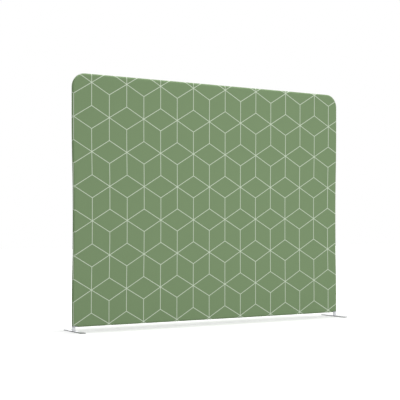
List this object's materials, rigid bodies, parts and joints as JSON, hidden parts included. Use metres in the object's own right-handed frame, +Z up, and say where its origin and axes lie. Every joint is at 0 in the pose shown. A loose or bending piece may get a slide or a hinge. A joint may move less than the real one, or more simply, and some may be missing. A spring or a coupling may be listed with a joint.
{
  "type": "fabric room divider",
  "caption": "Straight free-standing room divider: a tube frame inside a printed stretch cover with rounded top corners, zipped at the bottom, on flat bar feet that swivel.",
  "frame": {"origin": "on the floor, midway between the two feet", "axes": "+X along the wall to the right, +Y through the wall to its back, +Z up"},
  "size_m": [3, 0.37, 2.3],
  "materials": {
    "tube_metal": "satin anodised tube",
    "cast_metal": "cast and tumbled",
    "sleeve_metal": "mill finish",
    "foot_steel": "brushed and plated",
    "button_steel": "polished",
    "spring_steel": "tempered strip",
    "rivet_metal": "bright",
    "screw_steel": "zinc plated",
    "cover_cloth": "printed stretch polyester knit, matt",
    "binding_tape": "sewn elastic tape",
    "zip_tape": "woven tape",
    "zip_teeth": "moulded coil",
    "zip_metal": "baked enamel"
  },
  "bodies": {
    "frame": {"left_lower_upright": "tube_metal", "right_lower_upright": "tube_metal", "left_upper_upright": "tube_metal", "right_upper_upright": "tube_metal", "left_corner_bend": "tube_metal", "right_corner_bend": "tube_metal", "left_top_tube": "tube_metal", "right_top_tube": "tube_metal", "left_bottom_tube": "tube_metal", "right_bottom_tube": "tube_metal", "left_foot_tee": "cast_metal", "right_foot_tee": "cast_metal", "left_middle_coupler": "sleeve_metal", "right_middle_coupler": "sleeve_metal", "left_corner_coupler": "sleeve_metal", "right_corner_coupler": "sleeve_metal", "left_top_coupler": "sleeve_metal", "right_top_coupler": "sleeve_metal", "centre_pole_lower": "tube_metal", "centre_pole_upper": "tube_metal", "bottom_centre_tee": "cast_metal", "top_centre_tee": "cast_metal", "pole_middle_coupler": "sleeve_metal", "button_leaf_springs": "spring_steel", "coupler_rivets": "rivet_metal", "foot_screws": "screw_steel", "zip_end_stops": "zip_metal", "front_panel": "cover_cloth", "back_panel": "cover_cloth", "left_opening_binding": "binding_tape", "right_opening_binding": "binding_tape", "lower_zip_tape": "zip_tape", "upper_zip_tape": "zip_tape", "lower_zip_chain": "zip_teeth", "upper_zip_chain": "zip_teeth"},
    "left_foot": {"left_foot": "foot_steel"},
    "right_foot": {"right_foot": "foot_steel"},
    "left_upright_button": {"left_upright_button": "button_steel"},
    "left_rail_button": {"left_rail_button": "button_steel"},
    "left_middle_button": {"left_middle_button": "button_steel"},
    "left_corner_button": {"left_corner_button": "button_steel"},
    "left_top_button": {"left_top_button": "button_steel"},
    "left_rail_centre_button": {"left_rail_centre_button": "button_steel"},
    "left_top_centre_button": {"left_top_centre_button": "button_steel"},
    "right_upright_button": {"right_upright_button": "button_steel"},
    "right_rail_button": {"right_rail_button": "button_steel"},
    "right_middle_button": {"right_middle_button": "button_steel"},
    "right_corner_button": {"right_corner_button": "button_steel"},
    "right_top_button": {"right_top_button": "button_steel"},
    "right_rail_centre_button": {"right_rail_centre_button": "button_steel"},
    "right_top_centre_button": {"right_top_centre_button": "button_steel"},
    "pole_foot_button": {"pole_foot_button": "button_steel"},
    "pole_middle_button": {"pole_middle_button": "button_steel"},
    "pole_head_button": {"pole_head_button": "button_steel"},
    "zip_slider": {"zip_slider": "zip_metal"},
    "zip_pull": {"zip_pull": "zip_metal"}
  },
  "joints": [
    {"name": "left_foot_swivel", "type": "hinge", "parent": "frame", "child": "left_foot", "pos_m": [-1.4832, 0, 0.006], "axis": [0, 0, 1], "range_deg": [-90, 90]},
    {"name": "right_foot_swivel", "type": "hinge", "parent": "frame", "child": "right_foot", "pos_m": [1.4832, 0, 0.006], "axis": [0, 0, 1], "range_deg": [-90, 90]},
    {"name": "left_upright_press", "type": "slide", "parent": "frame", "child": "left_upright_button", "axis": [1, 0, 0], "range_m": [-0.00315, 0], "stiffness_N_per_m": 1500, "springref_m": 0.002, "deforming": ["button_leaf_springs"]},
    {"name": "left_rail_press", "type": "slide", "parent": "frame", "child": "left_rail_button", "axis": [0, 0, 1], "range_m": [-0.00315, 0], "stiffness_N_per_m": 1500, "springref_m": 0.002, "deforming": ["button_leaf_springs"]},
    {"name": "left_middle_press", "type": "slide", "parent": "frame", "child": "left_middle_button", "axis": [1, 0, 0], "range_m": [-0.00315, 0], "stiffness_N_per_m": 1500, "springref_m": 0.002, "deforming": ["button_leaf_springs"]},
    {"name": "left_corner_press", "type": "slide", "parent": "frame", "child": "left_corner_button", "axis": [1, 0, 0], "range_m": [-0.00315, 0], "stiffness_N_per_m": 1500, "springref_m": 0.002, "deforming": ["button_leaf_springs"]},
    {"name": "left_top_press", "type": "slide", "parent": "frame", "child": "left_top_button", "axis": [0, 0, -1], "range_m": [-0.00315, 0], "stiffness_N_per_m": 1500, "springref_m": 0.002, "deforming": ["button_leaf_springs"]},
    {"name": "left_rail_centre_press", "type": "slide", "parent": "frame", "child": "left_rail_centre_button", "axis": [0, 0, 1], "range_m": [-0.00315, 0], "stiffness_N_per_m": 1500, "springref_m": 0.002, "deforming": ["button_leaf_springs"]},
    {"name": "left_top_centre_press", "type": "slide", "parent": "frame", "child": "left_top_centre_button", "axis": [0, 0, -1], "range_m": [-0.00315, 0], "stiffness_N_per_m": 1500, "springref_m": 0.002, "deforming": ["button_leaf_springs"]},
    {"name": "right_upright_press", "type": "slide", "parent": "frame", "child": "right_upright_button", "axis": [-1, 0, 0], "range_m": [-0.00315, 0], "stiffness_N_per_m": 1500, "springref_m": 0.002, "deforming": ["button_leaf_springs"]},
    {"name": "right_rail_press", "type": "slide", "parent": "frame", "child": "right_rail_button", "axis": [0, 0, 1], "range_m": [-0.00315, 0], "stiffness_N_per_m": 1500, "springref_m": 0.002, "deforming": ["button_leaf_springs"]},
    {"name": "right_middle_press", "type": "slide", "parent": "frame", "child": "right_middle_button", "axis": [-1, 0, 0], "range_m": [-0.00315, 0], "stiffness_N_per_m": 1500, "springref_m": 0.002, "deforming": ["button_leaf_springs"]},
    {"name": "right_corner_press", "type": "slide", "parent": "frame", "child": "right_corner_button", "axis": [-1, 0, 0], "range_m": [-0.00315, 0], "stiffness_N_per_m": 1500, "springref_m": 0.002, "deforming": ["button_leaf_springs"]},
    {"name": "right_top_press", "type": "slide", "parent": "frame", "child": "right_top_button", "axis": [0, 0, -1], "range_m": [-0.00315, 0], "stiffness_N_per_m": 1500, "springref_m": 0.002, "deforming": ["button_leaf_springs"]},
    {"name": "right_rail_centre_press", "type": "slide", "parent": "frame", "child": "right_rail_centre_button", "axis": [0, 0, 1], "range_m": [-0.00315, 0], "stiffness_N_per_m": 1500, "springref_m": 0.002, "deforming": ["button_leaf_springs"]},
    {"name": "right_top_centre_press", "type": "slide", "parent": "frame", "child": "right_top_centre_button", "axis": [0, 0, -1], "range_m": [-0.00315, 0], "stiffness_N_per_m": 1500, "springref_m": 0.002, "deforming": ["button_leaf_springs"]},
    {"name": "pole_foot_press", "type": "slide", "parent": "frame", "child": "pole_foot_button", "axis": [1, 0, 0], "range_m": [-0.00315, 0], "stiffness_N_per_m": 1500, "springref_m": 0.002, "deforming": ["button_leaf_springs"]},
    {"name": "pole_middle_press", "type": "slide", "parent": "frame", "child": "pole_middle_button", "axis": [1, 0, 0], "range_m": [-0.00315, 0], "stiffness_N_per_m": 1500, "springref_m": 0.002, "deforming": ["button_leaf_springs"]},
    {"name": "pole_head_press", "type": "slide", "parent": "frame", "child": "pole_head_button", "axis": [1, 0, 0], "range_m": [-0.00315, 0], "stiffness_N_per_m": 1500, "springref_m": 0.002, "deforming": ["button_leaf_springs"]},
    {"name": "zip_open", "type": "slide", "parent": "frame", "child": "zip_slider", "axis": [1, 0, 0], "range_m": [0, 2.8684]},
    {"name": "zip_pull_swing", "type": "hinge", "parent": "zip_slider", "child": "zip_pull", "pos_m": [-1.4342, 0.022, 0.09], "axis": [1, 0, 0], "range_deg": [-8, 165]}
  ]
}
